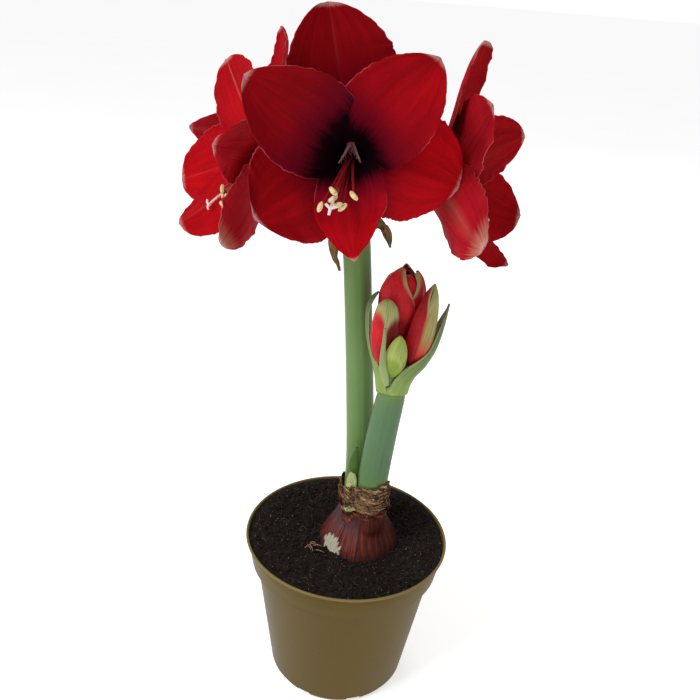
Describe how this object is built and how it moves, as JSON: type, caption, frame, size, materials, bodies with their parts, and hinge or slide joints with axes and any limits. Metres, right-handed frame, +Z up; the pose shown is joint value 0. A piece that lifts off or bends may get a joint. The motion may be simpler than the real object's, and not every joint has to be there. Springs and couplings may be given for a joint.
{
  "type": "potted amaryllis",
  "caption": "Forced amaryllis bulb in a tapered plastic pot of peat, one scape with an umbel of open red blooms and one with a cluster of opening buds.",
  "frame": {"origin": "centre of the pot's underside, on the surface that the pot stands on", "axes": "+Z up the plant; -Y is the front, towards which the front bloom faces; +X to the right as seen from the front"},
  "size_m": [0.232, 0.2067, 0.4842],
  "materials": {
    "pot_plastic": "satin olive-khaki moulded plastic",
    "peat": "dark moist peat with fine fibres",
    "bulb_skin": "dry maroon bulb skin with long veins",
    "dry_skin": "papery brown dead skin, frayed",
    "pale_scale": "pale yellow-green fleshy scale",
    "leaf": "smooth fleshy green leaf",
    "stem_green": "smooth waxy green stem",
    "stem_glaucous": "green stem with a pale waxy bloom",
    "tepal_red": "velvety crimson tepal, blackish at the throat",
    "bud_red": "red bud with pale green seams and tips",
    "bud_green": "yellow-green unopened bud",
    "spathe_green": "green spathe valve with pale margins",
    "dry_bract": "dry brown papery bract"
  },
  "bodies": {
    "root": {"pot": "pot_plastic", "soil": "peat", "bulb": "bulb_skin", "bulb_tunic": "dry_skin", "bulb_scale": "pale_scale", "leaf_shoot": "leaf", "scape_tall": "stem_green", "scape_short": "stem_glaucous", "bloom_front": "tepal_red", "bloom_left": "tepal_red", "bloom_right": "tepal_red", "bloom_back": "tepal_red", "bud_left": "bud_red", "bud_centre": "bud_red", "bud_right": "bud_red", "bud_green": "bud_green", "spathe_right": "spathe_green", "spathe_left": "spathe_green", "bracteole": "spathe_green", "bract_left": "dry_bract", "bract_right": "dry_bract"}
  },
  "joints": []
}
